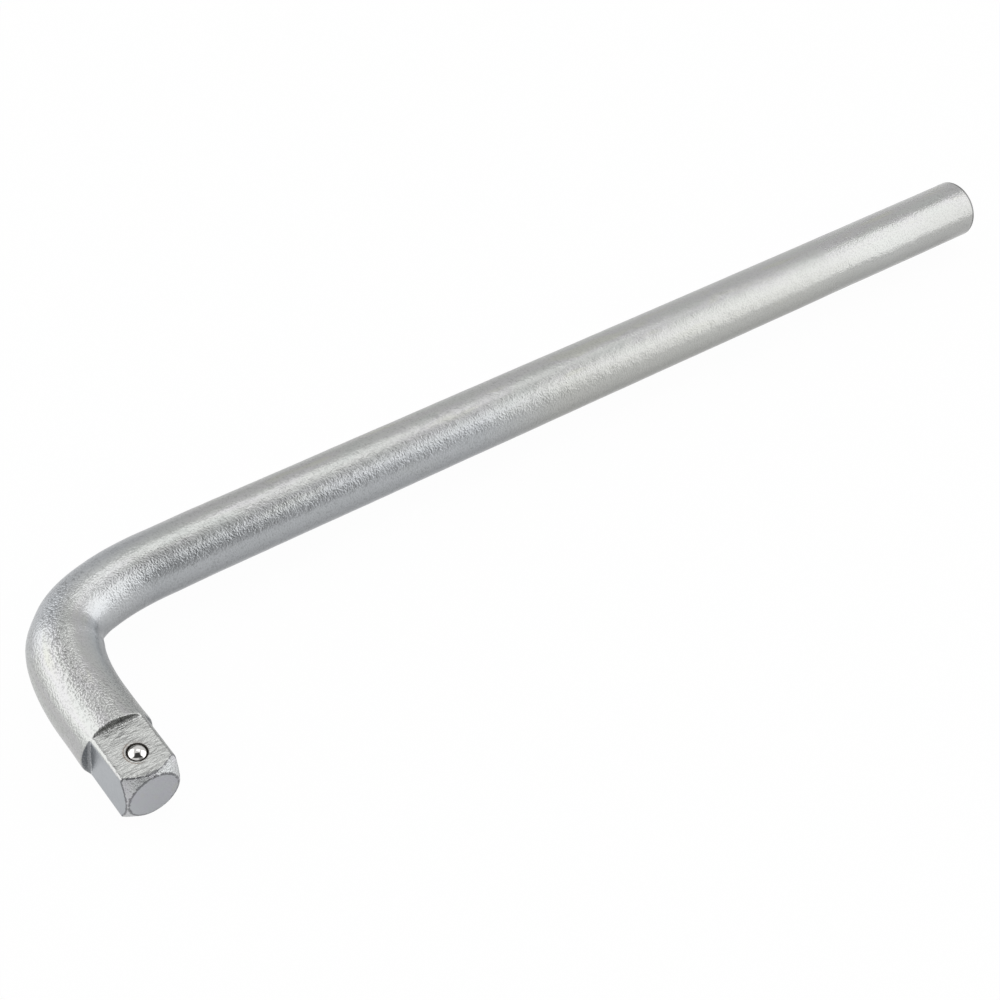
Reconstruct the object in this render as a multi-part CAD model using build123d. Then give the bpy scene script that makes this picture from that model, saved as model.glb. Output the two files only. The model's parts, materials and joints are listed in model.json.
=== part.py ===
from build123d import *
from math import asin, cos, degrees, pi, radians, sin, sqrt, tan
import os

# L-handle socket wrench: one forged bar with a male square drive, a detent ball and its spring.
# Millimetres. The tool lies flat with +Z up. The origin is the middle of the drive's end face,
# the drive points along -Y and the long arm points along +X.

# Handle bar
overall_length = 450.0          # outer side of the short arm to the free end
overall_reach = 92.5            # outer side of the long arm to the drive's end face
handle_diameter = 23.6          # long arm
short_arm_diameter = 25.4       # short arm, upset a little thicker to leave metal for the drive
free_end_chamfer = 0.8

# Bend: a tight middle between two wide run-outs, all arcs of the centre line
right_angle = 90.0
bend_radius = 27.2
first_run_out_radius = 77.0     # beside the short arm
first_run_out_angle = 16.5
last_run_out_radius = 105.0     # beside the long arm
last_run_out_angle = 15.0
bend_steps = 12                 # stretches between the round sections of the tight turn
thinning_start_share = 0.28     # the bar thins to the handle's size over this stretch of the turn
thinning_end_share = 0.52

# Drive square
square_width = 19.05            # across the flats
corner_diameter = 26.0          # across the corners at the end; at the shoulder they meet the bar
square_length = 22.3            # end face to shoulder
square_root_radius = 1.0        # fillet that the milling cutter leaves at the shoulder
end_face_diameter = 17.5        # round face left by the lead-in cone
end_cone_angle = 42.0           # between the cone and the end face
cutter_overrun = 5.0

# Detent: a ball in a blind hole whose rim is staked over it, and the spring that pushes it out
ball_diameter = 7.0
ball_from_end = 10.2
ball_proud = 1.5                # how far the ball stands out of the flat at rest
ball_bore_clearance = 0.1       # each side
ball_lip_clearance = 0.05
lip_inner_diameter = 6.5
lip_mouth_diameter = 6.9        # the staking tool opens the rim to this at the surface
lip_mouth_depth = 0.3
bore_depth = 15.0               # below the flat

# Detent spring
spring_wire_diameter = 0.7
spring_side_clearance = 0.5     # between the spring and the bore
spring_turns = 8
spring_seat_clearance = 0.05
quarters_per_turn = 4
gap_points_per_turn = 72

handle_radius = handle_diameter / 2
short_arm_radius = short_arm_diameter / 2
corner_radius = corner_diameter / 2
half_width = square_width / 2
long_arm_y = overall_reach - handle_radius
free_end_x = overall_length - short_arm_radius
ball_radius = ball_diameter / 2
bore_radius = ball_radius + ball_bore_clearance
ball_z = half_width + ball_proud - ball_radius
bore_floor_z = half_width - bore_depth
bend_arcs = (
    (first_run_out_radius, first_run_out_angle),
    (bend_radius, right_angle - first_run_out_angle - last_run_out_angle),
    (last_run_out_radius, last_run_out_angle),
)


def arc_step(radius, heading, turn):
    """Way from one end of an arc to the other; headings turn from +Y towards +X."""
    start, end = radians(heading), radians(heading + turn)
    return Vector(radius * (cos(start) - cos(end)), radius * (sin(end) - sin(start)))


def bend_span():
    """How far the bend reaches along each arm from the corner of the two centre lines."""
    span, heading = Vector(0, 0), 0
    for radius, turn in bend_arcs:
        span += arc_step(radius, heading, turn)
        heading += turn
    return span


def bend_station(distance):
    """Centre and heading of the bar at a distance round the bend from the short arm."""
    centre, heading = Vector(0, long_arm_y - bend_span().Y), 0
    for radius, angle in bend_arcs:
        turn = min(angle, degrees(distance / radius))
        centre += arc_step(radius, heading, turn)
        heading += turn
        distance -= radius * radians(turn)
    return centre, heading


def bar_radius(heading):
    """The bar thins smoothly from the short arm's size to the handle's in the middle of the turn."""
    done = (heading / right_angle - thinning_start_share) / (thinning_end_share - thinning_start_share)
    done = min(max(done, 0), 1)
    return short_arm_radius + (handle_radius - short_arm_radius) * done * done * (3 - 2 * done)


def bend_section(distance):
    """Round section of the bar, square to its centre line."""
    centre, heading = bend_station(distance)
    way = Vector(sin(radians(heading)), cos(radians(heading)))
    plane = Plane(origin=centre, x_dir=(0, 0, 1), z_dir=way)
    return plane * Circle(bar_radius(heading))


def make_run_out(distance, radius, angle):
    """Evenly thick, wide stretch of the bend that starts at this distance round it."""
    centre, heading = bend_station(distance)
    side = Vector(cos(radians(heading)), -sin(radians(heading)))
    axis = Axis(centre + side * radius, (0, 0, -1))
    return revolve(bend_section(distance), axis, angle)


def make_bend():
    first_length, tight_length, _ = (radius * radians(turn) for radius, turn in bend_arcs)
    stations = (first_length + tight_length * step / bend_steps for step in range(bend_steps + 1))
    first_run_out = make_run_out(0, first_run_out_radius, first_run_out_angle)
    tight_turn = loft([bend_section(distance) for distance in stations])
    last_run_out = make_run_out(first_length + tight_length, last_run_out_radius, last_run_out_angle)
    return first_run_out + tight_turn + last_run_out


def make_short_arm():
    """Round bar up to the bend, upset a little over the drive to fill the square's corners."""
    length = long_arm_y - bend_span().Y
    arm = extrude(Plane.XZ * Circle(short_arm_radius), amount=-length)
    profile = Polyline(
        (0, 0),
        (corner_radius, 0),
        (short_arm_radius, square_length),
        (0, square_length),
        close=True,
    )
    return arm + revolve(make_face(profile), Axis.Y)


def make_long_arm():
    start = bend_span().X
    foot = Plane.YZ.offset(start) * Pos(long_arm_y, 0, 0)
    arm = extrude(foot * Circle(handle_radius), amount=free_end_x - start)
    return chamfer(arm.edges().sort_by(Axis.X)[-1], free_end_chamfer)


def flat_cutter():
    """Removes the bar above one flat, with the cutter's corner radius at the shoulder."""
    top = corner_radius + cutter_overrun
    outline = Polyline(
        (square_length, half_width + square_root_radius),
        (square_length, top),
        (-cutter_overrun, top),
        (-cutter_overrun, half_width),
        (square_length - square_root_radius, half_width),
    )
    corner = RadiusArc(outline @ 0, outline @ 1, square_root_radius)
    return extrude(Plane.YZ * make_face([outline, corner]), amount=top, both=True)


def end_cone_cutter():
    """Removes the square's corners outside the round end face."""
    inner = end_face_diameter / 2
    outer = corner_radius + cutter_overrun
    slope = tan(radians(end_cone_angle))
    profile = Polyline(
        (inner - cutter_overrun, -cutter_overrun * slope),
        (outer, -cutter_overrun * slope),
        (outer, (outer - inner) * slope),
        close=True,
    )
    return revolve(make_face(profile), Axis.Y)


def hole_cutter():
    """Blind hole for the ball: staked mouth, lip that holds the ball in, and the bore under it."""
    mouth_radius = lip_mouth_diameter / 2
    lip_radius = lip_inner_diameter / 2
    lip_z = ball_z + sqrt((ball_radius + ball_lip_clearance) ** 2 - lip_radius**2)
    mouth_slope = (mouth_radius - lip_radius) / lip_mouth_depth
    profile = Polyline(
        (0, bore_floor_z),
        (bore_radius, bore_floor_z),
        (bore_radius, lip_z),
        (lip_radius, lip_z),
        (lip_radius, half_width - lip_mouth_depth),
        (mouth_radius + cutter_overrun * mouth_slope, half_width + cutter_overrun),
        (0, half_width + cutter_overrun),
        close=True,
    )
    return Pos(0, ball_from_end, 0) * revolve(make_face(Plane.XZ * profile), Axis.Z)


def make_handle_bar():
    bar = make_short_arm() + make_bend() + make_long_arm()
    for turn in range(4):
        bar -= Rot(0, turn * right_angle, 0) * flat_cutter()
    return bar - end_cone_cutter() - hole_cutter()


def make_detent_ball():
    return Pos(0, ball_from_end, ball_z) * Sphere(ball_radius)


def spring_line():
    """Radius, lowest and highest height of the spring's wire line: floor of the bore to the ball."""
    wire_radius = spring_wire_diameter / 2
    coil_radius = bore_radius - spring_side_clearance - wire_radius
    bottom = bore_floor_z + wire_radius + spring_seat_clearance
    touch = ball_radius + wire_radius + spring_seat_clearance
    top = ball_z - touch * cos(asin(coil_radius / touch))
    return coil_radius, bottom, top


def spring_point(turns):
    coil_radius, bottom, top = spring_line()
    angle = 2 * pi * turns
    height = bottom + (top - bottom) * turns / spring_turns
    return Vector(coil_radius * cos(angle), ball_from_end + coil_radius * sin(angle), height)


def spring_way(turns):
    coil_radius, bottom, top = spring_line()
    angle = 2 * pi * turns
    climb = (top - bottom) / (2 * pi * spring_turns)
    return Vector(-coil_radius * sin(angle), coil_radius * cos(angle), climb).normalized()


def biarc(start, start_way, end, end_way):
    """Two arcs from start to end that meet with one tangent."""
    span = end - start
    along = span.dot(start_way + end_way)
    turn = 1 - start_way.dot(end_way)
    reach = (sqrt(along**2 + 2 * turn * span.dot(span)) - along) / (2 * turn)
    first, last = start + start_way * reach, end - end_way * reach
    middle = (first + last) * 0.5
    return TangentArc(start, middle, tangent=start_way), TangentArc(middle, end, tangent=last - first)


def make_detent_spring():
    arcs = []
    for quarter in range(spring_turns * quarters_per_turn):
        low, high = quarter / quarters_per_turn, (quarter + 1) / quarters_per_turn
        arcs += biarc(spring_point(low), spring_way(low), spring_point(high), spring_way(high))
    start = Plane(origin=spring_point(0), z_dir=spring_way(0))
    return sweep(start * Circle(spring_wire_diameter / 2), path=Wire(arcs))


def least_spring_gap():
    """Least space between the wire's turns, measured between points more than half a turn apart."""
    steps = spring_turns * gap_points_per_turn
    points = [spring_point(step / gap_points_per_turn) for step in range(steps + 1)]
    half = gap_points_per_turn // 2
    nearest = min(
        (points[low] - points[high]).length
        for low in range(steps + 1)
        for high in range(low + half, min(low + 3 * half, steps) + 1)
    )
    return nearest - spring_wire_diameter


pieces = {
    "handle_bar": make_handle_bar(),
    "detent_ball": make_detent_ball(),
    "detent_spring": make_detent_spring(),
}
os.makedirs("parts", exist_ok=True)
for name, piece in pieces.items():
    export_step(piece, f"parts/{name}.step")
print("least gap between the spring's turns, mm:", round(least_spring_gap(), 3))
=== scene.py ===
import json
from itertools import product
from math import cos, exp, inf, pi, radians, sin, sqrt, tan

import bpy
import numpy as np
from mathutils import Matrix, Vector
from mathutils.noise import noise as solid_noise


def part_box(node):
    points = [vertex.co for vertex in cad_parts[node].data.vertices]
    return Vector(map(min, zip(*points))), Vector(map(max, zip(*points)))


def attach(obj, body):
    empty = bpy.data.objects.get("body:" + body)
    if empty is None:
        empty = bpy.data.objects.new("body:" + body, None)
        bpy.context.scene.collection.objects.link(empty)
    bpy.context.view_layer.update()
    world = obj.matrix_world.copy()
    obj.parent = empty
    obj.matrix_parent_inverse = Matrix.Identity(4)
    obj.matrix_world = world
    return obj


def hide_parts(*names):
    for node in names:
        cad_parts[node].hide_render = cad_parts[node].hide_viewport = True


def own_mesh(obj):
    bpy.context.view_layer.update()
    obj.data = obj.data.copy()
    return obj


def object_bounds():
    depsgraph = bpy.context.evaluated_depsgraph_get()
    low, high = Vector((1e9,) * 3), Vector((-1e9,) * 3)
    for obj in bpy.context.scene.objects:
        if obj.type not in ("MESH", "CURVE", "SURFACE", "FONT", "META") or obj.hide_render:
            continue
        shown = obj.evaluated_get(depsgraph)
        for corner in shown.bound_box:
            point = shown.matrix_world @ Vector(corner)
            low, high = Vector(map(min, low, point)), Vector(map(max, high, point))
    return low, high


# L-handle socket wrench: satin-plated forged bar, polished detent ball and its spring.
# Metres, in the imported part's frame: the drive's end face is at the origin and faces -Y,
# the long arm points along +X and the tool lies flat.
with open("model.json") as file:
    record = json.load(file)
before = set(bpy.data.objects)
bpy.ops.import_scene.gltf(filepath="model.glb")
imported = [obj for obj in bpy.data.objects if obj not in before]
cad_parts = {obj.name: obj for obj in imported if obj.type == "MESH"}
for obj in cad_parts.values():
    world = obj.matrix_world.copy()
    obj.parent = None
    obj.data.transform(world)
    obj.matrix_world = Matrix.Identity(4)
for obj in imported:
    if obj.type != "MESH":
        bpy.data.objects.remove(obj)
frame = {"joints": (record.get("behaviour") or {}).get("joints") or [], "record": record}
cad_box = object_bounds()
mm = 0.001

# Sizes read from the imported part
mounts = {mount["name"]: mount for mount in frame["record"]["mounts"]}
ball_low, ball_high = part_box("detent_ball")
handle_radius = mounts["long_arm"]["dims"]["r_mm"] * mm
long_arm_y = mounts["long_arm"]["pos_m"][1]
free_end_x = cad_box[1].x
half_width = mounts["drive_flat_top"]["pos_m"][2]
square_length = mounts["drive_shoulder"]["pos_m"][1]
ball_centre = (ball_low + ball_high) / 2
ball_radius = (ball_high.x - ball_low.x) / 2
bore_floor_z = frame["joints"][0]["deforming_nodes"][0]["fixed_end_z_m"]

# Sizes of the bar that no mount gives; the square's corners and end face are slightly worn
short_arm_radius = 12.7 * mm
free_end_chamfer = 0.8 * mm
bend_radius = 27.2 * mm
first_run_out_radius = 77 * mm
first_run_out_angle = 16.5
last_run_out_radius = 105 * mm
last_run_out_angle = 15
right_angle = 90
thinning_start_share = 0.28
thinning_end_share = 0.52
corner_radius = 12.87 * mm
end_face_radius = 8.72 * mm
end_cone_angle = 42
root_radius = 1.0 * mm
bore_radius = 3.6 * mm
lip_radius = 3.25 * mm
mouth_radius = 3.45 * mm
mouth_depth = 0.3 * mm
lip_clearance = 0.05 * mm
staking_ring_radius = 4.25 * mm
wire_radius = 0.35 * mm      # detent spring
spring_turns = 8

# Rounding of the plated edges
edge_radius = 0.22 * mm
band_edge_radius = 0.35 * mm
mouth_edge_radius = 0.08 * mm
mouth_rim_radius = mouth_radius + mouth_edge_radius
free_end_edge_radius = 0.35 * mm

# How far the milled square and the turned end lie beside the bar's own middle: across and up
square_shift = 0.18 * mm
end_shift = (-0.15 * mm, -0.3 * mm)

# Flattened patches of the forging: distance along the bar, half length, angle round the bar
# (0 is up, 90 degrees inside the bend), half width as an angle, depth
hollows = (
    (432 * mm, 14 * mm, radians(98), radians(26), 0.35 * mm),
    (72 * mm, 8 * mm, radians(104), radians(32), 0.35 * mm),
    (84 * mm, 7 * mm, radians(-60), radians(30), 0.2 * mm),
    (330 * mm, 150 * mm, radians(108), radians(32), 0.22 * mm),
    (380 * mm, 90 * mm, radians(-50), radians(30), 0.12 * mm),
    (160 * mm, 55 * mm, radians(18), radians(20), 0.25 * mm),
)

# Waves and lumps of the forging, which start beyond the shoulder's rim
wave_size, wave_depth, wave_stretch = 13 * mm, 0.14 * mm, (1, 1, 0.5)
lump_size, lump_depth = 4.5 * mm, 0.07 * mm
relief_start = square_length + 1.0 * mm
relief_full = square_length + 6 * mm

# Ragged machined edges: depth, size and seed of each layer of noise
burrs = ((0.05 * mm, 0.55 * mm, 5.1), (0.03 * mm, 1.7 * mm, 9.2))

# Where bending left the bar beside its nominal arcs: distance along, half length, shift to the inside
sways = (
    (54 * mm, 8 * mm, -0.14 * mm),
    (114 * mm, 11 * mm, 0.24 * mm),
)

# Mesh spacing
fine_step = 0.06 * mm
step_growth = 1.45
flat_step = 0.4 * mm
band_cells = 12
cone_reach = 3 * mm          # nominal length of the cone's rings and of those behind it
cone_step = 0.35 * mm
wall_step = 0.25 * mm
high_wall = 0.9 * mm         # a shoulder's wall has rings of its own where it is this high
mark_step = 0.16 * mm
bend_step = 0.45 * mm
arm_step = 1.0 * mm
face_step = 0.6 * mm
hole_square = 3.05 * mm      # half side of the square of cells that becomes the ball's hole
hole_reach = 5.6 * mm        # half side of the square inside which cells make room for it
bore_rings = 20
floor_ring_shares = (0.8, 0.5, 0.2)
straight_from = 4.6 * mm     # rings of the square are straight lines from here on
shoulder_reach = 1.3 * mm    # rings crowd together this far on both sides of the shoulder
chamfer_margin = 0.5 * mm    # the last plain ring lies this far before the free end's chamfer
rounding_points = 6
ball_cuts = 24
rings_per_turn = 36
wire_angles = [2 * pi * side / 12 for side in range(12)]
slope_reach = 0.002 * mm     # for measuring slopes on the drive's surface
settle_rounds = 12
least_slope = 0.2

# Finishes of the bar's faces, in the order of its material slots
forged_kind, milled_kind, faced_kind, cone_kind, corner_kind, hole_kind = range(6)
end_face_depth = 0.06 * mm   # how far a face may lie off its shape and keep its finish
cone_depth = 0.07 * mm
border_depth = 0.05 * mm
shoulder_margin = 0.02 * mm

bend_arcs = (
    (first_run_out_radius, radians(first_run_out_angle)),
    (bend_radius, radians(right_angle - first_run_out_angle - last_run_out_angle)),
    (last_run_out_radius, radians(last_run_out_angle)),
)


def follow_arcs(y, left):
    """Place and heading after a length of the bend that starts at this y, and the length left over."""
    x, heading = 0.0, 0.0
    for radius, turn in bend_arcs:
        part = min(max(left / radius, 0.0), turn)
        x += radius * (cos(heading) - cos(heading + part))
        y += radius * (sin(heading + part) - sin(heading))
        heading += part
        left -= radius * turn
    return x, y, heading, left


bend_x, bend_y, _, _ = follow_arcs(0.0, inf)
bend_start = long_arm_y - bend_y
bend_length = sum(radius * turn for radius, turn in bend_arcs)
bar_length = bend_start + bend_length + free_end_x - bend_x


def centre_line(distance):
    """Centre and heading of the bar at a distance from the drive's end face along its middle."""
    x, y, heading, left = follow_arcs(min(distance, bend_start), distance - bend_start)
    return x + max(left, 0.0), y, heading


def smooth(value, start, end):
    """0 before start, 1 after end and smooth between them."""
    share = np.clip((value - start) / (end - start), 0, 1)
    return share * share * (3 - 2 * share)


def bar_radius(heading):
    share = heading / radians(right_angle)
    thinned = smooth(share, thinning_start_share, thinning_end_share)
    return short_arm_radius + (handle_radius - short_arm_radius) * thinned


def crowd(length, coarse, start=True, end=True):
    """Places from 0 to length, close together at the chosen ends and coarse apart elsewhere."""
    steps, step, total = [], fine_step, 0.0
    ends = start + end
    while step < coarse and ends * (total + step) < length:
        steps.append(step)
        total += step
        step *= step_growth
    middle = length - ends * total
    count = max(1, round(middle / coarse))
    spacing = steps * start + [middle / count] * count + steps[::-1] * end
    return np.concatenate([[0.0], np.cumsum(spacing)])


def drive_columns():
    """Angle round the bar of each column of the mesh.

    Angle 0 is up and 90 degrees is towards the inside of the bend. The columns start
    in the middle of the lower left corner, so that the upper flat's lie in one run."""
    flat_half = sqrt(short_arm_radius**2 - half_width**2)
    inner = np.linspace(-hole_square, hole_square, 2 * round(hole_square / flat_step) + 1)
    outer = hole_square + crowd(flat_half - hole_square, flat_step, start=False)[1:]
    across = np.concatenate([-outer[::-1], inner, outer])
    flat = np.arctan2(across, half_width)
    band = np.linspace(flat[-1], pi / 2 - flat[-1], band_cells + 1)[1:-1]
    return np.concatenate([np.concatenate([flat, band]) + turn * pi / 2 for turn in (-2, -1, 0, 1)])


angles = drive_columns()
columns = len(angles)
sides = np.maximum(abs(np.cos(angles)), abs(np.sin(angles)))
square_reach = np.minimum(half_width / sides, short_arm_radius)
rim = np.stack([square_reach * np.sin(angles), square_reach * np.cos(angles)])
end_middle = np.array(end_shift)[:, None]
end_edge = end_middle + end_face_radius * (rim - end_middle) / np.hypot(*(rim - end_middle))


def soft_and(a, b, radius):
    """Signed distance to what is inside both shapes, with a rounded edge between them."""
    rounding = np.hypot(np.maximum(a + radius, 0), np.maximum(b + radius, 0))
    return np.minimum(-radius, np.maximum(a, b)) + rounding


def soft_or(a, b, radius):
    """Signed distance to what is inside either shape, with a fillet between them."""
    return -soft_and(-a, -b, radius)


def drive_distance(points, burr):
    """Signed distance from the drive's rounded surface; burr roughens its machined edges."""
    x, y, z = points[..., 0], points[..., 1], points[..., 2]
    square = np.maximum(abs(x), abs(z)) - half_width
    body = soft_or(square, square_length - y, root_radius)
    body = soft_and(body, corner_gap(x, z, y), band_edge_radius)
    body = soft_and(body, cone_distance(x, z, y) + burr, edge_radius)
    return soft_and(body, -y, edge_radius)


def corner_envelope(along):
    """Radius of the square's corners, which is the bar's at the shoulder, and the square's shift."""
    ahead = 1 - np.clip(along / square_length, 0, 1)
    return short_arm_radius + (corner_radius - short_arm_radius) * ahead, square_shift * ahead


def corner_gap(across, up, along):
    """Signed distance from the round envelope of the square's corners."""
    envelope, shift = corner_envelope(along)
    return np.hypot(across + shift, up) - envelope


def cone_distance(across, up, along):
    """Signed distance from the lead-in cone."""
    out = np.hypot(across - end_shift[0], up - end_shift[1])
    return (out - end_face_radius) * sin(radians(end_cone_angle)) - along * cos(radians(end_cone_angle))


def settle(points, burr):
    """Moves points onto the drive's rounded surface, down its slope in several rounds."""
    shifts = np.eye(3) * slope_reach
    for _ in range(settle_rounds):
        here = drive_distance(points, burr)
        ahead = np.stack([drive_distance(points + shift, burr) for shift in shifts], -1)
        behind = np.stack([drive_distance(points - shift, burr) for shift in shifts], -1)
        slope = (ahead - behind) / (2 * slope_reach)
        points = points - slope * (here / np.maximum((slope**2).sum(-1), least_slope))[..., None]
    return points


def drive_rings():
    """Sharp-edged rings of the drive: across, up and along, from its end's middle to the shoulder."""
    for out in end_face_radius - crowd(end_face_radius - face_step, face_step, end=False)[::-1]:
        yield *(end_middle + (end_edge - end_middle) * out / end_face_radius), np.zeros(columns)
    for share in crowd(cone_reach, cone_step)[1:] / cone_reach:
        place = end_edge + (rim - end_edge) * share
        cone_y = (np.hypot(*(place - end_middle)) - end_face_radius) * tan(radians(end_cone_angle))
        yield *place, cone_y
    for share in crowd(cone_reach, cone_step, end=False)[1:] / cone_reach:
        yield *rim, cone_y + (straight_from - cone_y) * share
    hole_start, hole_end = ball_centre.y - hole_square, ball_centre.y + hole_square
    stops = (straight_from, hole_start, hole_end, square_length - shoulder_reach)
    for start, end in zip(stops, stops[1:]):
        for y in np.linspace(start, end, round((end - start) / mark_step) + 1)[1:]:
            yield *rim, np.full(columns, y)
    yield from shoulder_rings()


def shoulder_rings():
    """Rings from the flats up the shoulder's wall and over its rim.

    In the corners, where there is no wall, the same rings spread out evenly."""
    wall = short_arm_radius - square_reach
    highest = wall.max()
    places = [near + 0 * wall for near in crowd(shoulder_reach, wall_step, start=False)[1:]]
    places += [shoulder_reach + wall * share for share in crowd(highest, wall_step)[1:] / highest]
    places += [shoulder_reach + wall + far for far in crowd(shoulder_reach, wall_step, end=False)[1:]]
    there = smooth(wall, 0, high_wall)
    for index, along in enumerate(places):
        even = (2 * shoulder_reach + wall) * (index + 1) / len(places)
        along = there * along + (1 - there) * even
        climbed = np.clip(along - shoulder_reach, 0, wall)
        y = square_length - shoulder_reach + np.minimum(along, shoulder_reach)
        y = y + np.maximum(along - shoulder_reach - wall, 0)
        yield *(rim * (1 + climbed / square_reach)), y


def on_upper_flat(points):
    return points[..., 2] > half_width - mm / 2


def open_hole(points):
    """Moves the cells of the upper flat aside, so that a square of them fits the ball's round hole."""
    x, y = points[..., 0], points[..., 1] - ball_centre.y
    square = np.maximum(abs(x), abs(y))
    away = np.maximum(np.hypot(x, y), 1e-9)
    near = (square < hole_reach) & on_upper_flat(points)
    beyond, room = square - hole_square, hole_reach - hole_square
    share = np.clip(beyond / room, 0, 1)
    opened = mouth_rim_radius + beyond * (hole_reach - mouth_rim_radius) / room
    radius = (1 - share) * opened + share * away
    scale = np.where(near, radius / away, 1)
    points[..., 0] = x * scale
    points[..., 1] = y * scale + ball_centre.y


def noise_at(points, size, seed):
    """Smooth noise from -1 to 1 at each point, with lumps of about this size."""
    flat = points.reshape(-1, 3) / size + seed
    values = np.fromiter((solid_noise(p) for p in flat), float, len(flat))
    return values.reshape(points.shape[:-1])


def relief(unbent):
    """How far the forged surface lies inside its nominal size."""
    along = unbent[..., 2]
    waves = 0.5 + 0.5 * noise_at(unbent * wave_stretch, wave_size, 3.7)
    lumps = 0.5 + 0.5 * noise_at(unbent, lump_size, 11.3)
    depth = wave_depth * waves + lump_depth * lumps
    turned = np.arctan2(unbent[..., 0], unbent[..., 1])
    for place, half_length, turn, half_turn, hollow_depth in hollows:
        away = ((along - place) / half_length) ** 2 + ((turned - turn) / half_turn) ** 2
        depth = depth + hollow_depth * np.exp(-away)
    return depth * smooth(along, relief_start, relief_full)


def sway(along):
    """How far the bar's middle lies inside its nominal arcs."""
    return sum(most * exp(-(((along - place) / half) ** 2)) for place, half, most in sways)


def free_end_profile():
    """Distance out and distance along of the free end's rings, from the handle to the middle."""
    bevel = pi / 4
    bevel_start = (handle_radius, bar_length - free_end_chamfer)
    bevel_end = (handle_radius - free_end_chamfer, bar_length)
    headings = (0.0, bevel, 2 * bevel)
    cut = free_end_edge_radius * tan(bevel / 2)
    for (out, along), before, after in zip((bevel_start, bevel_end), headings, headings[1:]):
        start_out = out + cut * sin(before)
        start_along = along - cut * cos(before)
        for share in np.linspace(0, 1, rounding_points):
            turn = before + (after - before) * share
            yield (
                start_out - free_end_edge_radius * (cos(before) - cos(turn)),
                start_along + free_end_edge_radius * (sin(turn) - sin(before)),
            )
    inner = handle_radius - free_end_chamfer - cut
    for out in crowd(inner - face_step, face_step, end=False)[1:]:
        yield inner - out, bar_length


def arm_stations():
    """Places of the round bar's rings between the shoulder and the free end."""
    start = square_length + shoulder_reach
    bend_end = bend_start + bend_length
    near = np.linspace(start, bend_end, round((bend_end - start) / bend_step) + 1)[1:]
    end = bar_length - free_end_chamfer - chamfer_margin
    far = np.linspace(bend_end, end, round((end - bend_end) / arm_step) + 1)[1:]
    return np.concatenate([near, far])


def round_ring(out, along):
    return np.stack([out * np.sin(angles), out * np.cos(angles), along + 0 * angles], -1)


def bent_ring(flat, keep):
    """A ring of the straight bar where it lies on the bent one; keep is what the relief leaves of it."""
    along = flat[:, 2].mean()
    x, y, heading = centre_line(along) if flat[0, 2] > bend_start else (0, 0, 0)
    side, up = np.array([cos(heading), -sin(heading), 0]), np.array([0, 0, 1])
    middle = flat[:, 2, None] * np.array([0, 1, 0]) if heading == 0 else np.array([x, y, 0.0])
    middle = middle + sway(along) * side
    return middle + (flat[:, 0] * keep)[:, None] * side + (flat[:, 1] * keep)[:, None] * up


def bar_grid():
    """Rings of points from the middle of the drive's end to the middle of the free end.

    Gives the points, the same points on the bar unbent, and the number of rings in the drive."""
    unbent = [np.stack(ring, -1) for ring in drive_rings()]
    drive_count = len(unbent)
    drive = np.array(unbent)[..., [0, 2, 1]]
    burr = sum(depth * noise_at(drive, size, seed) for depth, size, seed in burrs)
    open_hole(drive)
    drive = settle(drive, burr)
    unbent = list(drive[..., [0, 2, 1]])
    unbent += [round_ring(bar_radius(centre_line(along)[2]), along) for along in arm_stations()]
    unbent += [round_ring(out, along) for out, along in free_end_profile()]
    unbent = np.array(unbent)
    out = np.hypot(unbent[..., 0], unbent[..., 1])
    kept = 1 - relief(unbent) / np.maximum(out, mm)
    bent = np.array([bent_ring(flat, keep) for flat, keep in zip(unbent, kept)])
    return bent, unbent, drive_count


def hole_profile():
    """Distance out and height of the rings down the ball's hole, from its mouth to its floor."""
    lip_z = ball_centre.z + sqrt((ball_radius + lip_clearance) ** 2 - lip_radius**2)
    soft = mouth_edge_radius / 2
    yield mouth_radius + soft / 2, half_width - soft / 2
    yield mouth_radius - soft / 2, half_width - soft * 1.5
    yield lip_radius + soft, half_width - mouth_depth + soft
    yield lip_radius, half_width - mouth_depth - soft / 2
    yield lip_radius, lip_z + soft / 2
    yield lip_radius + soft / 2, lip_z
    yield bore_radius, lip_z
    for z in np.linspace(lip_z, bore_floor_z, bore_rings)[1:]:
        yield bore_radius, z
    for share in floor_ring_shares:
        yield share * bore_radius, bore_floor_z


def cone_border_gap(unbent):
    """Distance of points on the drive from the nearest edge of the lead-in cone."""
    across, up, along = unbent.T
    flat = abs(np.maximum(abs(across), abs(up)) - half_width)
    cone = abs(cone_distance(across, up, along))
    return np.maximum(cone, np.minimum(np.minimum(flat, along), abs(corner_gap(across, up, along))))


def flat_border_gap(unbent):
    """How far points on a flat lie inside its long borders, where the square's rounded corners start."""
    across, up, along = unbent.T
    envelope, shift = corner_envelope(along)
    top = abs(up) > abs(across)
    reach = np.sqrt(envelope**2 - np.where(top, half_width, half_width + np.sign(across) * shift) ** 2)
    return reach - np.where(top, abs(across + shift), abs(up))


class MeshData:
    """Points of a mesh, their places on the unbent bar, and its faces with their materials."""

    def __init__(self):
        self.points, self.unbent, self.faces, self.kinds = [], [], [], []

    def add_points(self, points, unbent):
        start = len(self.points)
        self.points += [tuple(p) for p in points]
        self.unbent += [tuple(p) for p in unbent]
        return list(range(start, len(self.points)))

    def add_face(self, corners, kind=0):
        self.faces.append(corners)
        self.kinds.append(kind)

    def add_band(self, near, far, kind=0):
        """Faces between two closed rings of as many points."""
        for corners in zip(near, near[1:] + near[:1], far[1:] + far[:1], far):
            self.add_face(corners, kind)

    def add_fan(self, ring, middle, unbent, kind, flip=False):
        """Triangles from a point in the middle to a closed ring."""
        (centre,) = self.add_points([middle], [unbent])
        for a, b in zip(ring, ring[1:] + ring[:1]):
            self.add_face((centre, b, a) if flip else (centre, a, b), kind)


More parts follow.
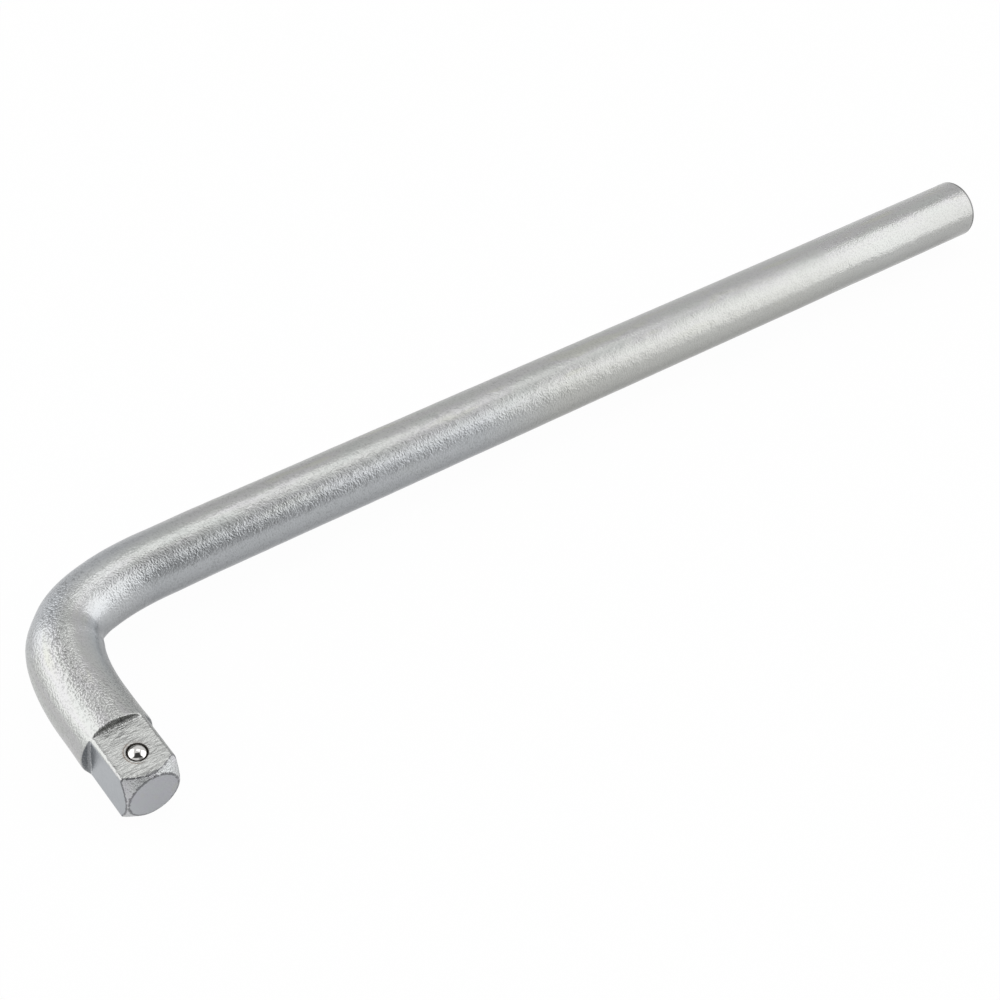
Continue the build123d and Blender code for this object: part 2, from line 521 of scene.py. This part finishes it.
def build_bar():
    """The forged bar as one closed mesh, with the ball's hole open in its upper flat."""
    bent, unbent, drive_count = bar_grid()
    data = MeshData()
    rings = [data.add_points(ring, flat) for ring, flat in zip(bent, unbent)]
    in_hole = hole_cells(bent[:drive_count])
    for k, (near, far) in enumerate(zip(rings, rings[1:])):
        for j in range(columns):
            if k < drive_count - 1 and in_hole[k, j]:
                continue
            n = (j + 1) % columns
            kind = face_kind((unbent[k, j] + unbent[k + 1, n]) / 2)
            data.add_face((near[j], near[n], far[n], far[j]), kind)
    for end, flip in ((0, True), (-1, False)):
        data.add_fan(rings[end], bent[end].mean(0), unbent[end].mean(0), faced_kind, flip)
    add_hole(data, rings, in_hole, bent)
    return data


def hole_cells(drive):
    """Which cells of the drive lie inside the hole."""
    away = np.hypot(drive[..., 0], drive[..., 1] - ball_centre.y)
    inside = (away < mouth_rim_radius * 1.0001) & on_upper_flat(drive)
    here = inside[:-1] & inside[1:]
    return here & np.roll(here, -1, axis=1)


def face_kind(middle):
    """Which finish a face of the bar's outside has."""
    across, up, along = middle
    if along > bar_length - free_end_chamfer / 2:
        return faced_kind
    if along > square_length + shoulder_margin:
        return forged_kind
    if along < end_face_depth:
        return faced_kind
    if cone_distance(across, up, along) > -cone_depth:
        return cone_kind
    return corner_kind if flat_border_gap(middle[None])[0] < border_depth else milled_kind


def add_hole(data, rings, in_hole, bent):
    """Walls and floor of the hole, from the edge that its missing cells leave."""
    k_cells, j_cells = np.nonzero(in_hole)
    k0, k1, j0, j1 = k_cells.min(), k_cells.max() + 1, j_cells.min(), j_cells.max() + 1
    loop = [(k0, j) for j in range(j0, j1)] + [(k, j1) for k in range(k0, k1)]
    loop += [(k1, j) for j in range(j1, j0, -1)] + [(k, j0) for k in range(k1, k0, -1)]
    edge = [rings[k][j] for k, j in loop]
    border = np.array([bent[k, j] for k, j in loop])
    turn = np.arctan2(border[:, 1] - ball_centre.y, border[:, 0])
    for out, z in hole_profile():
        x, y = out * np.cos(turn), ball_centre.y + out * np.sin(turn)
        height = z + 0 * x
        ring = data.add_points(np.stack([x, y, height], -1), np.stack([x, height, y], -1))
        data.add_band(edge, ring, hole_kind)
        edge = ring
    floor_middle = (0.0, ball_centre.y, bore_floor_z)
    data.add_fan(edge, floor_middle, (0.0, bore_floor_z, ball_centre.y), hole_kind)


def new_object(name, data):
    made = bpy.data.objects.new(name, data)
    bpy.context.scene.collection.objects.link(made)
    return made


def to_object(name, data, materials):
    mesh = bpy.data.meshes.new(name)
    mesh.from_pydata(data.points, [], data.faces)
    for material in materials:
        mesh.materials.append(material)
    mesh.polygons.foreach_set("material_index", data.kinds)
    mesh.polygons.foreach_set("use_smooth", [True] * len(data.faces))
    unbent = mesh.attributes.new("unbent", "FLOAT_VECTOR", "POINT")
    unbent.data.foreach_set("vector", np.array(data.unbent, np.float32).ravel())
    mesh.update()
    return new_object(name, mesh)


def store_border_gaps(piece, data):
    """Keeps each point's distances from the cone's edges and its flat's borders, for the materials."""
    for label, gap in (("cone_border_gap", cone_border_gap), ("flat_border_gap", flat_border_gap)):
        values = piece.data.attributes.new(label, "FLOAT", "POINT")
        values.data.foreach_set("value", gap(np.array(data.unbent)).astype(np.float32))


# Colours of the plating and its painted reflection tints, of painted shade and a painted highlight, and
# of what scratches and heat leave on it

plated = (0.458, 0.465, 0.453, 1)
# Cool painted reflection tint of the end faces
plated_cool = (0.445, 0.457, 0.475, 1)
side_flat_reflection_blue = (0.4, 0.42, 0.443, 1)
plated_pale = (0.56, 0.57, 0.575, 1)
# Painted reflection tints of the bar's sides
side_cool = (0.438, 0.455, 0.474, 1)
side_warm = (0.462, 0.466, 0.446, 1)
side_dull = (0.418, 0.421, 0.409, 1)
pit_shadow = (0.12, 0.12, 0.12, 1)
cone_edge_dark = (0.12, 0.12, 0.13, 1)
border_line = (0.14, 0.14, 0.14, 1)
scratch_grey = (0.15, 0.15, 0.15, 1)
heat_brown = (0.16, 0.11, 0.08, 1)
painted_glint_white = (0.85, 0.85, 0.85, 1)

# Where the finish changes along the bar: each change starts and ends at these distances
short_arm_pits = (30 * mm, 55 * mm)
bend_pits_fade = (84 * mm, 112 * mm)
far_specks = (200 * mm, 430 * mm)
strokes_start = (85 * mm, 115 * mm)
strokes_fade = (270 * mm, 360 * mm)
end_gloss = (415 * mm, 445 * mm)
end_scratches = (bar_length - 16 * mm, bar_length - 8 * mm)
end_rim_line = (bar_length - 1.75 * mm, bar_length - 1.35 * mm)
outer_cool_start = (55 * mm, 70 * mm)
outer_cool_end = (135 * mm, 95 * mm)
pressed_middle, pressed_fade = 60 * mm, (26 * mm, 12 * mm)
light_top_middle, light_top_fade = 87 * mm, (18 * mm, 6 * mm)

# Marks of the forging: size of the pattern and depth of its bump
swell_size, swell_depth = 3.2 * mm, 0.1 * mm
pit_size, pit_depth = 0.64 * mm, 0.115 * mm
stroke_size, stroke_depth = 1.0 * mm, 0.032 * mm
speck_size, speck_depth = 0.5 * mm, 0.03 * mm

# Heights between which a face of the square becomes its upper or lower flat
level_start = (half_width - 0.4 * mm, half_width - 0.2 * mm)
top_start = (half_width - 0.5 * mm, half_width - 0.3 * mm)


# Nodes of the materials

def new_material(name, colour, roughness, metallic=1.0):
    material = bpy.data.materials.new(name)
    material.use_nodes = True
    shader = material.node_tree.nodes["Principled BSDF"]
    feed_all(shader, Base_Color=colour, Metallic=metallic, Roughness=roughness)
    return material, material.node_tree


def finished(material, colour, roughness, normal):
    shader = material.node_tree.nodes["Principled BSDF"]
    feed_all(shader, Base_Color=colour, Roughness=roughness, Normal=normal)
    return material


def feed(socket, value):
    """Links a socket to an output of another node, or sets it to a value."""
    if isinstance(value, bpy.types.NodeSocket):
        socket.id_data.links.new(value, socket)
    else:
        socket.default_value = value


def feed_row(sockets, *values):
    for socket, value in zip(sockets, values):
        feed(socket, value)


def feed_all(made, **inputs):
    """Feeds a node's inputs; an input's name has _ for each space."""
    for name, value in inputs.items():
        feed(made.inputs[name.replace("_", " ")], value)


def node(tree, kind, **inputs):
    made = tree.nodes.new(kind)
    feed_all(made, **inputs)
    return made


def maths(operation, *values, clamp=False):
    """Result of a math node beside the nodes that some of its values come from."""
    tree = next(value.id_data for value in values if isinstance(value, bpy.types.NodeSocket))
    made = tree.nodes.new("ShaderNodeMath")
    made.operation = operation
    made.use_clamp = clamp
    for socket in made.inputs:
        socket.default_value = 0.0
    feed_row(made.inputs, *values)
    return made.outputs[0]


def times(first, second):
    return maths("MULTIPLY", first, second)


def plus(first, second):
    return maths("ADD", first, second)


def minus(first, second):
    return maths("SUBTRACT", first, second)


def larger(first, second):
    return maths("MAXIMUM", first, second)


def away_from(value, place):
    return maths("ABSOLUTE", minus(value, place))


def attribute(tree, name, output):
    made = tree.nodes.new("ShaderNodeAttribute")
    made.attribute_name = name
    return made.outputs[output]


def bar_place(tree):
    """Place on the straightened bar, so that a pattern follows the bend."""
    return attribute(tree, "unbent", "Vector")


def split(place):
    """Parts of a place, which are across, up and along on the straightened bar."""
    made = node(place.id_data, "ShaderNodeSeparateXYZ", Vector=place)
    return [made.outputs[name] for name in "XYZ"]


def stretched(place, scale, turn=(0, 0, 0)):
    made = node(place.id_data, "ShaderNodeMapping", Vector=place, Scale=scale, Rotation=turn)
    return made.outputs["Vector"]


def grain(place, size, detail=2.0, roughness=0.5, distortion=0.0):
    made = node(place.id_data, "ShaderNodeTexNoise", Vector=place, Scale=1 / size, Detail=detail)
    feed_all(made, Roughness=roughness, Distortion=distortion)
    return made.outputs["Fac"]


def spread(value, start, end, low=0.0, high=1.0):
    """Maps a value from start..end to low..high, held at its ends."""
    made = node(value.id_data, "ShaderNodeMapRange", Value=value, From_Min=start, From_Max=end)
    feed_all(made, To_Min=low, To_Max=high)
    return made.outputs["Result"]


def ranged(noise, low, high):
    """Maps the range that most of a noise's values have to low..high."""
    return spread(noise, 0.3, 0.7, low, high)


def bump(height, depth, before=None):
    made = node(height.id_data, "ShaderNodeBump", Height=height, Distance=depth, Strength=1.0)
    if before is not None:
        feed(made.inputs["Normal"], before)
    return made.outputs["Normal"]


def tinted(value, *stops):
    """Colour ramp through pairs of place and colour."""
    ramp = node(value.id_data, "ShaderNodeValToRGB", Fac=value)
    while len(ramp.color_ramp.elements) < len(stops):
        ramp.color_ramp.elements.new(0.5)
    for element, (place, colour) in zip(ramp.color_ramp.elements, stops):
        element.position = place
        element.color = colour
    return ramp.outputs["Color"]


colour_mix_inputs = (0, 6, 7)      # a mix node's share and its two colours


def blended(share, first, second):
    made = share.id_data.nodes.new("ShaderNodeMix")
    made.data_type = "RGBA"
    feed_row([made.inputs[index] for index in colour_mix_inputs], share, first, second)
    return made.outputs[2]


# Tints, wear, painted shade and painted light that several finishes share

def plating_tints(place, colour):
    """Faint cool, neutral, lilac and warm drifts along the bar, as thin plating shows."""
    r, g, b, _ = colour
    drift = grain(stretched(place, (1, 1, 0.2)), 5 * mm, 2.0)
    return tinted(
        drift,
        (0.3, (r * 0.985, g, b, 1)),
        (0.45, (r, g, b, 1)),
        (0.58, (r * 1.005, g * 0.985, b * 1.02, 1)),
        (0.7, (r * 1.015, g * 1.01, b * 0.965, 1)),
    )


def side_reflection_tints(across, along, colour):
    """Painted reflection tints: the inner side is cooler on its near half, warmer on its far half and
    duller at the end, and the bend's outer side is cooler.
    """
    share = spread(along, 0.0, bar_length)
    drift = tinted(
        share, (0.06, plated), (0.12, side_cool), (0.48, side_cool), (0.56, side_warm),
        (0.8, side_warm), (0.9, plated), (0.96, side_dull),
    )
    inside = spread(across, 3.5 * mm, 9 * mm, 0.0, 0.85)
    outside = spread(across, 0.0, -4 * mm)
    bent = times(spread(along, *outer_cool_start), spread(along, *outer_cool_end))
    colour = blended(times(outside, bent), colour, side_cool)
    return blended(inside, colour, drift)


def pressed_inside(across, along):
    """Where the bending tool pressed the inside of the bend smoother."""
    beside = spread(away_from(along, pressed_middle), *pressed_fade)
    return times(beside, spread(across, -1.5 * mm, 2.5 * mm, 0.0, 0.75))


def painted_light_top(across, along):
    """Where the top of the bend's far half is painted paler as painted light, and its pits are shallower.
    """
    beside = spread(away_from(along, light_top_middle), *light_top_fade)
    return times(beside, spread(across, -7 * mm, -2 * mm))


def pitted_share(across, along, light_top_share):
    """How deep the pits are: most on the short arm and the bend, less inside it and on its outer side."""
    pitted = spread(along, *bend_pits_fade, 1.0, 0.15)
    pitted = times(pitted, spread(along, *short_arm_pits, 0.7, 1.0))
    pitted = times(pitted, minus(1.0, pressed_inside(across, along)))
    pitted = times(pitted, spread(across, -8.5 * mm, -4.5 * mm, 0.5, 1.0))
    pitted = times(pitted, maths("MULTIPLY_ADD", light_top_share, -0.5, 1.0))
    return larger(pitted, spread(along, *far_specks, 0.15, 0.28))


def stroked_share(along):
    """How deep the crosswise strokes are: they start in the bend, fade far out and return at the end."""
    stroked = spread(along, *strokes_start)
    stroked = times(stroked, spread(along, *strokes_fade, 1.0, 0.25))
    return larger(stroked, spread(along, *end_scratches, 0.0, 0.8))


def darker_cone_edges(place, colour):
    """Darkens the ragged edges of the lead-in cone."""
    gap = attribute(place.id_data, "cone_border_gap", "Fac")
    ragged = spread(grain(place, 1.1 * mm, 4.0, 0.7), 0.35, 0.65, 0.06 * mm, 0.5 * mm)
    share = spread(minus(gap, ragged), 0.08 * mm, -0.1 * mm, 0.0, 0.75)
    # A darker colour along the cone's ragged edges
    return blended(share, colour, cone_edge_dark)


def painted_border_shade(place, colour, where):
    """Painted shade: a thin dark line along a flat's long borders, beside the burnished corners."""
    gap = attribute(place.id_data, "flat_border_gap", "Fac")
    wander = ranged(grain(place, 1.3 * mm, 3.0, 0.6), -0.3 * mm, 0.3 * mm)
    beside = away_from(gap, wander)
    share = times(spread(beside, 0.08 * mm, 0.2 * mm, 0.6, 0.0), where)
    return blended(share, colour, border_line)


def staking_tint(place):
    """Brown heat tint round the ball's hole, and the thin ring that the staking punch left beside it."""
    across, up, along = split(place)
    beside = minus(along, ball_centre.y)
    squares = plus(maths("POWER", across, 2.0), maths("POWER", beside, 2.0))
    out = maths("SQRT", squares)
    upper_left = spread(minus(beside, across), -3.0 * mm, 4.0 * mm, 0.15, 1.0)
    halo = times(spread(out, mouth_radius, mouth_radius + 1.5 * mm, 0.6, 0.0), upper_left)
    patchy = spread(grain(place, 1.5 * mm, 2.0), 0.35, 0.65, 0.1, 1.0)
    ring = spread(away_from(out, staking_ring_radius), 0.05 * mm, 0.2 * mm, 0.7, 0.0)
    one_side = spread(across, 0.5 * mm, -1.5 * mm)
    tint = plus(times(halo, patchy), times(ring, one_side))
    return maths("MULTIPLY", tint, spread(up, *top_start), clamp=True)


# Finishes

def forged_finish():
    """Shot-blasted forging under satin chrome.

    The short arm and the bend are pitted, the long arm has crosswise strokes that fade
    to speckles, and pits and creases show darker."""
    material, tree = new_material("satin_chrome_forged", plated, 0.3)
    place = bar_place(tree)
    across, _, along = split(place)
    light_top_share = painted_light_top(across, along)
    pitted = pitted_share(across, along, light_top_share)
    stroked = stroked_share(along)
    pits = spread(grain(place, pit_size, 0.0), 0.7, 0.3)
    slanted = node(tree, "ShaderNodeVectorRotate", Vector=place, Axis=(0.6, 0.8, 0), Angle=radians(14))
    slanted = stretched(slanted.outputs["Vector"], (1, 1, 1.6))
    strokes = spread(grain(slanted, stroke_size, 1.0, 0.5, 0.3), 0.65, 0.35)
    normal = bump(grain(place, swell_size, 1.0), swell_depth)
    normal = bump(times(pits, pitted), -pit_depth, normal)
    normal = bump(times(strokes, stroked), -stroke_depth, normal)
    normal = bump(grain(place, speck_size, 1.0), speck_depth, normal)
    # Painted shade: pits and the strokes' creases are painted darker, and a dark line is painted just
    # inside the free end's rim
    pit_shade = times(spread(pits, 0.6, 0.9, 0.0, 0.5), pitted)
    crease_shade = times(spread(strokes, 0.7, 1.0, 0.0, 0.25), stroked)
    rim_line = spread(along, *end_rim_line, 0.0, 0.85)
    shade = larger(larger(pit_shade, crease_shade), rim_line)
    colour = side_reflection_tints(across, along, plating_tints(place, plated))
    # Painted light: the top of the bend's far half is painted paler
    colour = blended(times(light_top_share, 0.4), colour, plated_pale)
    colour = blended(shade, colour, pit_shadow)
    gloss = spread(along, *end_gloss, 0.0, 0.08)
    roughness = minus(ranged(grain(place, 3 * mm, 3.0, 0.6), 0.28, 0.3), gloss)
    return finished(material, colour, roughness, normal)


def milled_finish():
    """Flats of the drive: crosswise cutter marks, side flats with a painted reflection tint, a shoulder
    wall darkened with painted shade, a painted highlight along its foot, and a tint round the ball.
    """
    material, tree = new_material("satin_chrome_milled", plated, 0.32)
    place = bar_place(tree)
    _, up, along = split(place)
    level = spread(maths("ABSOLUTE", up), *level_start)
    streaks = grain(stretched(place, (0.14, 0.14, 1.0), (0, radians(4), 0)), 0.55 * mm, 1.0)
    nicks = grain(stretched(place, (0.4, 0.4, 1.0), (0, radians(-6), 0)), 0.5 * mm, 1.0)
    marks = maths("MULTIPLY_ADD", nicks, 0.9, times(streaks, 0.8))
    marks = times(marks, spread(level, 0.0, 1.0, 0.25, 1.0))
    wall = spread(along, square_length - 0.9 * mm, square_length - 0.3 * mm)
    torn = grain(place, 0.45 * mm, 1.0)
    torn_share = spread(wall, 0.0, 1.0, 0.15, 1.0)
    normal = bump(marks, 0.16 * mm)
    normal = bump(times(torn, torn_share), 0.11 * mm, normal)
    # Painted reflection: the side flats are painted bluer and darker than the upper and lower flats
    colour = blended(level, side_flat_reflection_blue, plated)
    scratches = times(spread(streaks, 0.46, 0.34, 0.0, 0.5), level)
    colour = blended(scratches, colour, scratch_grey)
    colour = blended(staking_tint(place), colour, heat_brown)
    # Painted shade: the shoulder's wall is painted dark and ragged, most on the side flats' walls
    wall_shade = plus(spread(torn, 0.35, 0.6, 0.4, 0.1), spread(level, 0.0, 1.0, 0.35, 0.0))
    colour = blended(times(wall_shade, wall), colour, pit_shadow)
    # Painted highlight: a bright ragged line along the foot of the shoulder's wall
    foot_glint = away_from(along, square_length - 0.8 * mm)
    foot_glint = times(spread(foot_glint, 0.1 * mm, 0.22 * mm, 0.8, 0.0), spread(torn, 0.45, 0.6))
    colour = blended(foot_glint, colour, painted_glint_white)
    colour = darker_cone_edges(place, painted_border_shade(place, colour, level))
    roughness = ranged(grain(place, 2 * mm, 3.0, 0.6), 0.28, 0.36)
    return finished(material, colour, roughness, normal)


def faced_finish():
    """End faces: turned flat, then plated, with a cool painted reflection tint."""
    material, tree = new_material("satin_chrome_faced", plated_cool, 0.32)
    place = bar_place(tree)
    colour = darker_cone_edges(place, plating_tints(place, plated_cool))
    roughness = ranged(grain(place, 2.5 * mm, 3.0, 0.6), 0.29, 0.36)
    normal = bump(grain(place, 0.4 * mm, 2.0), 0.012 * mm)
    return finished(material, colour, roughness, normal)


def cone_finish():
    """Lead-in cone: turned quickly and left a little coarse."""
    material, tree = new_material("satin_chrome_cone", plated_pale, 0.45)
    place = bar_place(tree)
    coarse = grain(place, 0.6 * mm, 1.0)
    colour = darker_cone_edges(place, plating_tints(place, plated_pale))
    normal = bump(coarse, 0.28 * mm)
    return finished(material, colour, ranged(coarse, 0.4, 0.5), normal)


def corner_finish():
    """Corners of the square: what is left of the round bar, burnished by sockets."""
    material, tree = new_material("satin_chrome_corner", plated, 0.28)
    place = bar_place(tree)
    nicks = grain(place, 0.7 * mm, 2.0)
    level = spread(maths("ABSOLUTE", split(place)[1]), *top_start)
    colour = painted_border_shade(place, plating_tints(place, plated), level)
    colour = darker_cone_edges(place, colour)
    normal = bump(nicks, 0.16 * mm)
    return finished(material, colour, ranged(nicks, 0.28, 0.36), normal)


def hole_finish():
    """The ball's hole: bare drilled steel, painted black as painted shade of the gap round the ball, with
    oxide and grease.
    """
    material, tree = new_material("satin_chrome_hole", (0.03, 0.027, 0.025, 1), 0.5, 0.4)
    hole_shade_and_grime = grain(bar_place(tree), 0.5 * mm, 3.0, 0.6)
    colour = tinted(hole_shade_and_grime, (0.35, (0.02, 0.018, 0.017, 1)), (0.65, (0.055, 0.045, 0.036, 1)))
    normal = bump(hole_shade_and_grime, 0.02 * mm)
    return finished(material, colour, ranged(hole_shade_and_grime, 0.4, 0.6), normal)


def polished_steel():
    """Hardened ball, mirror bright with hair-fine scratches."""
    colour = (0.72, 0.71, 0.69, 1)
    material, tree = new_material("polished_steel", colour, 0.05)
    place = tree.nodes.new("ShaderNodeTexCoord").outputs["Object"]
    place = stretched(place, (1, 0.08, 0.3), (0.4, 0.2, 0.9))
    scratches = grain(place, 0.12 * mm, 3.0, 0.7)
    normal = bump(scratches, 0.0004 * mm)
    return finished(material, colour, ranged(scratches, 0.03, 0.09), normal)


def spring_steel():
    """Drawn music wire: dull grey with fine mottling."""
    material, tree = new_material("spring_wire", (0.36, 0.35, 0.34, 1), 0.4)
    place = tree.nodes.new("ShaderNodeTexCoord").outputs["Object"]
    mottling = grain(place, 0.2 * mm, 3.0, 0.7)
    colour = tinted(mottling, (0.3, (0.3, 0.29, 0.28, 1)), (0.7, (0.42, 0.41, 0.4, 1)))
    normal = bump(mottling, 0.005 * mm)
    return finished(material, colour, ranged(mottling, 0.32, 0.5), normal)


# Pieces

def make_ball():
    """A true sphere of evenly sized cells: a cube, divided and puffed out."""
    places = np.tan(np.linspace(-pi / 4, pi / 4, ball_cuts + 1))
    data, seen = MeshData(), {}
    for axis, sign in product(range(3), (-1, 1)):
        grid = {}
        for a, b in product(range(ball_cuts + 1), repeat=2):
            spot = np.zeros(3)
            spot[axis], spot[(axis + 1) % 3], spot[(axis + 2) % 3] = sign, places[a], places[b]
            spot /= np.linalg.norm(spot)
            key = tuple(np.round(spot, 6))
            if key not in seen:
                (seen[key],) = data.add_points([np.array(ball_centre) + spot * ball_radius], [spot])
            grid[a, b] = seen[key]
        for a, b in product(range(ball_cuts), repeat=2):
            cell = (grid[a, b], grid[a + 1, b], grid[a + 1, b + 1], grid[a, b + 1])
            data.add_face(cell if sign > 0 else cell[::-1])
    return to_object("polished_ball", data, [polished_steel()])


def make_spring():
    """The coil under the ball: one wire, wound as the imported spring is."""
    low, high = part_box("detent_spring")
    coil_radius = (high.x - low.x) / 2 - wire_radius
    bottom, top = low.z + wire_radius, high.z - wire_radius
    climb = (top - bottom) / (2 * pi * spring_turns)
    data, rings = MeshData(), []
    for turns in np.linspace(0, spring_turns, spring_turns * rings_per_turn + 1):
        angle = 2 * pi * turns
        out = Vector((cos(angle), sin(angle), 0))
        way = Vector((-coil_radius * sin(angle), coil_radius * cos(angle), climb)).normalized()
        middle = Vector((0, ball_centre.y, bottom + climb * angle)) + out * coil_radius
        ring = [middle + wire_radius * (cos(t) * out + sin(t) * way.cross(out)) for t in wire_angles]
        rings.append(data.add_points(ring, ring))
    for near, far in zip(rings, rings[1:]):
        data.add_band(near, far)
    data.add_face(tuple(rings[0][::-1]))
    data.add_face(tuple(rings[-1]))
    return to_object("coil_spring", data, [spring_steel()])


bar_data = build_bar()
bar = to_object("forged_bar", bar_data, [
    forged_finish(), milled_finish(), faced_finish(), cone_finish(), corner_finish(), hole_finish(),
])
store_border_gaps(bar, bar_data)
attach(bar, "handle")
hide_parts("handle_bar")

ball = make_ball()
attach(ball, "ball")
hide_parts("detent_ball")

# The spring stands on the hole's floor and gets a mesh of its own
spring = make_spring()
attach(spring, "handle")
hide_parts("detent_spring")
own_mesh(spring)

# Studio: pale floor, a softbox on each side, a weaker one overhead and a dim room behind the camera.
# Azimuths count from +X to +Y and elevations up from the floor, in degrees.
floor_z = -short_arm_radius
floor_side = 6.0
object_middle = Vector((0.17, 0.06, 0))
camera_share = 0.97                      # how far the camera sees the floor lit from within
wall_light, least_light = 0.82, 0.06
room_azimuth, room_edge_elevation, room_depth = -113, 34, 0.76
room_width, room_narrowing, room_least_width = 1.04, 0.7, 0.38
gap_dim = (-80, 18, 12, 28, 0.5)         # azimuth, elevation, inner and outer angle, light taken away
far_dim = (80, 3, 8, 24, 0.2)


def direction(azimuth, elevation):
    a, e = radians(azimuth), radians(elevation)
    return Vector((cos(e) * cos(a), cos(e) * sin(a), sin(e)))


def softbox(name, azimuth, elevation, distance, width, low, high, radiance):
    """Lamp panel square to a direction from the object, from low to high beside that direction."""
    lamp = bpy.data.lights.new(name, "AREA")
    lamp.shape = "RECTANGLE"
    lamp.size, lamp.size_y = width, high - low
    lamp.energy = radiance * pi * width * (high - low)
    there = new_object(name, lamp)
    way = direction(azimuth, elevation)
    turn = way.to_track_quat("Z", "Y")
    there.location = object_middle + way * distance + turn @ Vector((0, (low + high) / 2, 0))
    there.rotation_euler = turn.to_euler()


def mirrored_glow(tree):
    """How far the metal sees the floor lit from within: most outside the L, least at its inner side."""
    geometry = tree.nodes.new("ShaderNodeNewGeometry")
    x, y, _ = split(geometry.outputs["Position"])
    left = times(x, -1.0)
    behind = minus(y, long_arm_y)
    behind_drive = spread(y, -10 * mm, 40 * mm, 0.55, 1.0)
    outside = times(spread(left, -30 * mm, 5 * mm, 0.2, 1.0), behind_drive)
    inside = spread(larger(left, behind), -14 * mm, -70 * mm, 0.2, 0.8)
    under = spread(behind, -14 * mm, -8 * mm, 0.2, 0.75)
    under = times(under, spread(behind, 0.0, -4 * mm))
    return larger(larger(outside, inside), under)


def white_floor():
    """Satin white, which camera and metal see partly lit from within, so that its shadow is faint."""
    material = bpy.data.materials.new("white_floor")
    material.use_nodes = True
    tree = material.node_tree
    tree.nodes.clear()
    rays = tree.nodes.new("ShaderNodeLightPath")
    mirrored = plus(rays.outputs["Is Glossy Ray"], rays.outputs["Is Transmission Ray"])
    seen = times(rays.outputs["Is Camera Ray"], camera_share)
    share = maths("ADD", seen, times(mirrored, mirrored_glow(tree)), clamp=True)
    satin = node(tree, "ShaderNodeBsdfPrincipled", Base_Color=(0.9, 0.9, 0.9, 1), Roughness=0.4)
    white = node(tree, "ShaderNodeEmission", Color=(1, 1, 1, 1), Strength=1.0)
    mixed = tree.nodes.new("ShaderNodeMixShader")
    feed_row(mixed.inputs, share, satin.outputs[0], white.outputs[0])
    output = tree.nodes.new("ShaderNodeOutputMaterial")
    tree.links.new(mixed.outputs[0], output.inputs["Surface"])
    return material


def make_floor():
    side = floor_side
    corners = [(-side, -side, 0), (side, -side, 0), (side, side, 0), (-side, side, 0)]
    mesh = bpy.data.meshes.new("floor")
    mesh.from_pydata(corners, [], [(0, 1, 2, 3)])
    mesh.materials.append(white_floor())
    floor = new_object("floor", mesh)
    floor.location = (object_middle.x, object_middle.y, floor_z)


def dot_product(first, second):
    made = first.id_data.nodes.new("ShaderNodeVectorMath")
    made.operation = "DOT_PRODUCT"
    feed_row(made.inputs, first, second)
    return made.outputs["Value"]


def dim_area(place, azimuth, elevation, inner, outer, amount):
    """Light that a dark part of the room takes away: all of it up to inner degrees from its middle."""
    near = dot_product(place, direction(azimuth, elevation))
    return spread(near, cos(radians(outer)), cos(radians(inner)), 0.0, amount)


def dim_room(place):
    """The dim room behind the camera: wide low down, narrower overhead, with a table's lower edge."""
    forward, side, up = direction(room_azimuth, 0), direction(room_azimuth + 90, 0), Vector((0, 0, 1))
    edge = radians(room_edge_elevation)
    above = spread(dot_product(place, up * cos(edge) - forward * sin(edge)), -0.02, 0.05)
    before = spread(dot_product(place, forward), -0.02, 0.08)
    height = dot_product(place, up)
    width = maths("MULTIPLY_ADD", height, -room_narrowing, room_width)
    width = larger(width, room_least_width)
    beside = maths("ABSOLUTE", dot_product(place, side))
    between = spread(minus(beside, width), 0.04, -0.04)
    return times(times(above, before), times(between, room_depth))


def make_world():
    """White to the camera. The metal sees pale walls and the dim room behind the camera."""
    world = bpy.data.worlds.new("studio")
    bpy.context.scene.world = world
    world.use_nodes = True
    tree = world.node_tree
    place = tree.nodes.new("ShaderNodeTexCoord").outputs["Generated"]
    dim = plus(dim_area(place, *far_dim), dim_area(place, *gap_dim))
    dim = plus(dim, dim_room(place))
    left = larger(minus(wall_light, dim), least_light)
    rays = tree.nodes.new("ShaderNodeLightPath")
    lit = node(tree, "ShaderNodeMapRange", Value=rays.outputs["Is Camera Ray"], To_Min=left, To_Max=1.0)
    feed_all(tree.nodes["Background"], Color=(1, 1, 1, 1), Strength=lit.outputs["Result"])


softbox("right_softbox", -27, 22, distance=2.5, width=2.9, low=-1.0, high=1.6, radiance=1.03)
softbox("left_softbox", 143, 22, distance=2.5, width=4.0, low=-1.05, high=1.5, radiance=1.12)
softbox("top_softbox", 43, 65, distance=3.0, width=1.6, low=-0.6, high=0.6, radiance=1.18)
make_floor()
make_world()

# Camera
camera_place = Vector((-195.863, -327.035, 532.363)) * mm
camera_azimuth, camera_elevation, camera_roll = radians(-44.287), radians(45.758), radians(9.774)
camera_lens, sensor_width = 75.929, 36


def make_camera():
    data = bpy.data.cameras.new("camera")
    data.lens = camera_lens
    data.sensor_width = sensor_width
    camera = new_object("camera", data)
    back = Vector((
        sin(camera_azimuth) * cos(camera_elevation),
        -cos(camera_azimuth) * cos(camera_elevation),
        sin(camera_elevation),
    ))
    right = Vector((cos(camera_azimuth), sin(camera_azimuth), 0))
    up = back.cross(right)
    turned = Matrix((right, up, back)).transposed() @ Matrix.Rotation(camera_roll, 3, "Z")
    camera.matrix_world = Matrix.Translation(camera_place) @ turned.to_4x4()
    bpy.context.scene.camera = camera


make_camera()
bpy.context.scene.view_settings.view_transform = "Standard"
